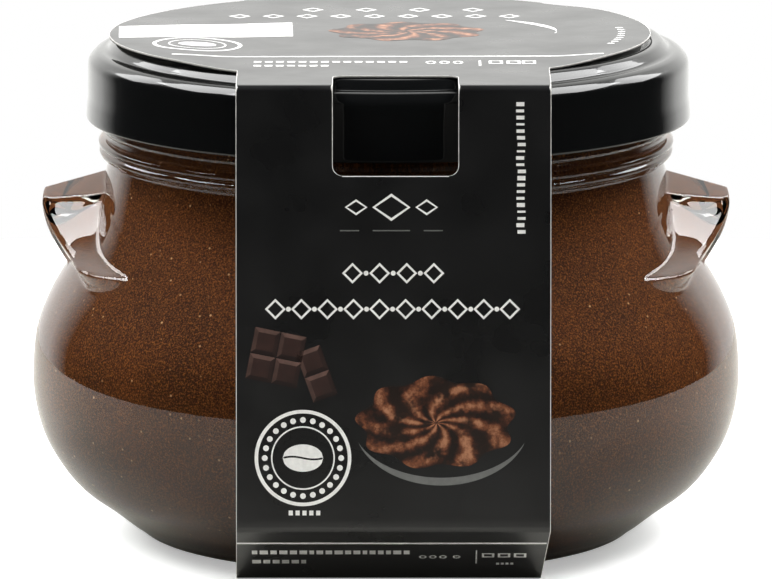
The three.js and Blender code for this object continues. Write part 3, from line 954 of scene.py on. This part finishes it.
def makeTablets():
    # squares of chocolate seen from above, each a face and four bevels with a tone of its own; the
    # two blocks are turned by an angle a, x' = x cos a - y sin a and y' = x sin a + y cos a
    p = prints
    ring = np.array([(-1, -1), (1, -1), (1, 1), (-1, 1)], float)
    pitch = 2 * p["tabletHalf"] + p["tabletGap"]
    shapes, tones = [], []
    for middleX, middleHeight, turned, columns, rows in p["tabletBlocks"]:
        cosine, sine = math.cos(turned), math.sin(turned)
        turn = np.array([(cosine, sine), (-sine, cosine)])
        places = np.array([(column, row) for column in range(columns) for row in range(rows)])
        for centre in (places - places.mean(axis=0)) * pitch:
            outer, inner = ring * p["tabletHalf"] + centre, ring * p["tabletFace"] + centre
            sides = [(inner[[0, 1, 3, 2]], p["tabletTone"])]
            for i, tone in enumerate(p["bevelTones"]):
                j = (i + 1) % 4
                sides.append((np.stack([outer[i], outer[j], inner[i], inner[j]]), tone))
            for quad, tone in sides:
                x, height = (quad @ turn).T.reshape(2, 2, 2)
                shapes.append((x + middleX, frontAt(height + middleHeight)))
                tones.append(tone)
    makeInk("tabletPrint", shapes, tabletMaterial(), tones, weld=False)


def tabletMaterial():
    material, tree = newMaterial("tabletInk")
    grain = noise(tree, objectPoints(tree), prints["dustScale"], 3.0)
    lit = ramp(tree, pointTone(tree), prints["tabletStops"])
    dusty = spread(tree, grain, *prints["dustFrom"], 0.0, prints["dustMost"])
    colour = mixColours(tree, dusty, lit, prints["tabletDust"])
    output(tree, surface(tree, BaseColor=colour, Roughness=prints["pictureRoughness"]))
    return material


def makeSwirl(name, x, along, halfWidth, halfHeight):
    # a piped rosette seen from above: the tone is the height of its ridges, a power of
    # (1 + cos(k (turn + twist * ring))) / 2, raised on the side to the light; its edge is
    # scalloped, and darkens outwards
    p = prints
    turn = np.linspace(0, 2 * math.pi, 289)
    ring = np.linspace(0, 1, 33)[:, None]
    phase = p["swirlRidges"] * (turn + p["swirlTwist"] * ring ** 0.8)
    edge = 1 - p["swirlScallop"] * ring ** 3 * (1 - np.cos(phase)) / 2
    px = x + halfWidth * ring * edge * np.cos(turn)
    ps = along - halfHeight * ring * edge * np.sin(turn)
    crest = ((1 + np.cos(phase)) / 2) ** 0.8
    slope = np.sin(phase) * np.cos(turn - p["swirlLight"])
    lit = p["swirlCrest"] * crest + p["swirlSlope"] * slope + p["swirlMiddle"] * (1 - ring)
    inner, fall = p["swirlRim"]
    tone = np.clip(lit, 0, 1) * np.clip(inner - fall * ring ** 6, 0, 1)
    makeInk(name, [(px, ps)], swirlMaterial(), [tone])


def swirlMaterial():
    # the tone roughened by crumbs and broken by dark pits
    p = prints
    material, tree = newMaterial("printedMousse")
    points = objectPoints(tree)
    crumbs = noise(tree, points, p["crumbScale"], 4.0, 0.7)
    pits = spread(tree, noise(tree, points, p["pitScale"], 3.0, 0.6), *p["pitFrom"])
    rough = compute(tree, "MULTIPLY_ADD", crumbs, p["crumbGain"], p["crumbShift"])
    colour = ramp(tree, compute(tree, "ADD", pointTone(tree), rough), p["swirlStops"])
    shade = mixColours(tree, pits, p["swirlPit"], colour)
    output(tree, surface(tree, BaseColor=shade, Roughness=p["pictureRoughness"]))
    return material


whiteInk = inkMaterial("whiteInk")
makeInk("frontPrint", whiteShapes(), whiteInk)
makeInk("topPrint", topShapes(), whiteInk)
makeInk("silverRules", silverShapes(), inkMaterial("silverInk"))
makeTablets()
for name, place in (("frontSwirl", frontAt), ("topSwirl", topAt)):
    x, level, *size = prints[name]
    makeSwirl(name, x, float(place(level)), *size)
print("print laid on the sleeve")


studio = dict(
    floorRadius=303.0, floorHeight=-0.05, tableRoughness=0.7, tableGlow=0.35,
    tableTone=(0.46, 0.45, 0.41), pictureTone=(0.92, 0.92, 0.92),
    # the backdrop's half width and soft edge in degrees, where its top fades, and its brightness
    backdropHalf=44.0, backdropSoft=8.0, backdropTop=(0.85, 0.7), backdrop=(1.3, 1.3, 1.2675),
    dark=(0.012, 0.012, 0.012),
    # place, aim, size, radiance, turn in its own plane, seen in gloss, seen through the glass;
    # the first five stand on both sides, and are given for the right
    sideLights=dict(
        sideBox=((0.59, 0.17, 0.85), (0, 0, 0.05), (0.50, 0.46), 11.0, 0, True, True),
        frontBox=((0.576, -0.242, 0.9), (0.576, -0.242, 0), (0.29, 0.44), 11.0, -0.42, True, True),
        neckBox=((0.59, 0.17, 0.85), (0, 0, 0.05), (0.50, 0.46), 16.0, 0, True, False),
        backBox=((0.6, 0.47, 0.53), (0, 0, 0.05), (0.3, 0.3), 6.0, 0, True, True),
        sideFill=((0.9, -0.9, 0.75), (0, 0, 0.05), (0.9, 0.9), 0.6, 0, False, False),
    ),
    middleLights=dict(
        topFill=((0, 0.1, 1.1), (0, 0, 0.05), (0.9, 0.7), 1.6, 0, False, False),
        frontFill=((0, -1.6, 0.9), (0, 0, 0.05), (1.6, 0.8), 1.3, 0, False, False),
        tableLight=((0, 0, 1.6), (0, 0, 0), (1.2, 1.2), 1.6, 0, False, False),
    ),
)


def makeFloor():
    # a flat round table, far enough out to reach past the picture
    radius = np.concatenate([[0], np.linspace(20, studio["floorRadius"], 12)])[::-1]
    profile = np.stack([radius, np.full(len(radius), studio["floorHeight"])], 1)
    points = latheGrid(profile, fullTurn(96))
    faces = gridFaces(*points.shape[:2], wrapColumns=True)
    mesh = bpy.data.meshes.new("floor")
    mesh.from_pydata((points.reshape(-1, 3) * 0.001).tolist(), [], faces.tolist())
    material, tree = newMaterial("paleTable")
    # paler for the camera than in the glass, so that it stays white in the picture
    direct = addNode(tree, "ShaderNodeLightPath").outputs["Is Camera Ray"]
    tone = mixColours(tree, direct, studio["tableTone"], studio["pictureTone"])
    glow = spread(tree, direct, 0, 1, 0, studio["tableGlow"])
    output(tree, surface(
        tree, BaseColor=tone, Roughness=studio["tableRoughness"], EmissionColor=(1, 1, 1, 1),
        EmissionStrength=glow))
    mesh.materials.append(material)
    floor = addObject("floor", mesh)
    return floor


def makeWorld():
    # white for the camera and behind the object, dark elsewhere, so that glass and lacquer
    # show the pale backdrop only along their edges
    world = bpy.data.worlds.new("studio")
    world.use_nodes = True
    bpy.context.scene.world = world
    tree = world.node_tree
    tree.nodes.clear()
    direction = addNode(tree, "ShaderNodeTexCoord").outputs["Generated"]
    parts = addNode(tree, "ShaderNodeSeparateXYZ", Vector=direction)
    level = addNode(tree, "ShaderNodeCombineXYZ", X=parts.outputs[0], Y=parts.outputs[1])
    flat = addNode(
        tree, "ShaderNodeVectorMath", {"operation": "NORMALIZE"}, Vector=level.outputs[0])
    toBack = addNode(tree, "ShaderNodeSeparateXYZ", Vector=flat.outputs[0]).outputs[1]
    low, high = (
        math.cos(math.radians(studio["backdropHalf"] + side * studio["backdropSoft"]))
        for side in (1, -1))
    behind = spread(tree, toBack, low, high)
    height = spread(tree, parts.outputs[2], *studio["backdropTop"])
    both = compute(tree, "MULTIPLY", behind, height)
    tone = mixColours(tree, both, studio["dark"], studio["backdrop"])
    path = addNode(tree, "ShaderNodeLightPath")
    seen = mixColours(tree, path.outputs["Is Camera Ray"], tone, (1.0, 1.0, 1.0))
    background = addNode(tree, "ShaderNodeBackground", Color=seen, Strength=1.0)
    addNode(tree, "ShaderNodeOutputWorld", Surface=background.outputs[0])


def areaLight(name, side, place, aim, size, radiance, roll, glossy, through):
    # side is -1 for the mirror image; radiance 1 is as bright as a white backdrop
    light = bpy.data.lights.new(name, "AREA")
    light.shape = "RECTANGLE"
    light.size, light.size_y = size
    light.energy = radiance * math.pi * size[0] * size[1]
    lamp = addObject(name, light)
    mirror = Vector((side, 1, 1))
    lamp.location = Vector(place) * mirror
    facing = ((Vector(aim) - Vector(place)) * mirror).to_track_quat("-Z", "Y")
    lamp.rotation_euler = (facing @ Quaternion((0, 0, 1), side * roll)).to_euler()
    lamp.visible_glossy = glossy
    lamp.visible_transmission = through
    if name in lightOnly:
        receivers = bpy.data.collections.new(name + "Receivers")
        receivers.objects.link(lightOnly[name])
        lamp.light_linking.receiver_collection = receivers


lightOnly = dict(neckBox=jarGlass, tableLight=makeFloor())  # these light one piece alone
makeWorld()
for side in (-1, 1):
    for name, settings in studio["sideLights"].items():
        areaLight(name, side, *settings)
for name, settings in studio["middleLights"].items():
    areaLight(name, 1, *settings)
bpy.context.scene.view_settings.view_transform = "Standard"
bpy.context.scene.view_settings.look = "None"
print("studio made")
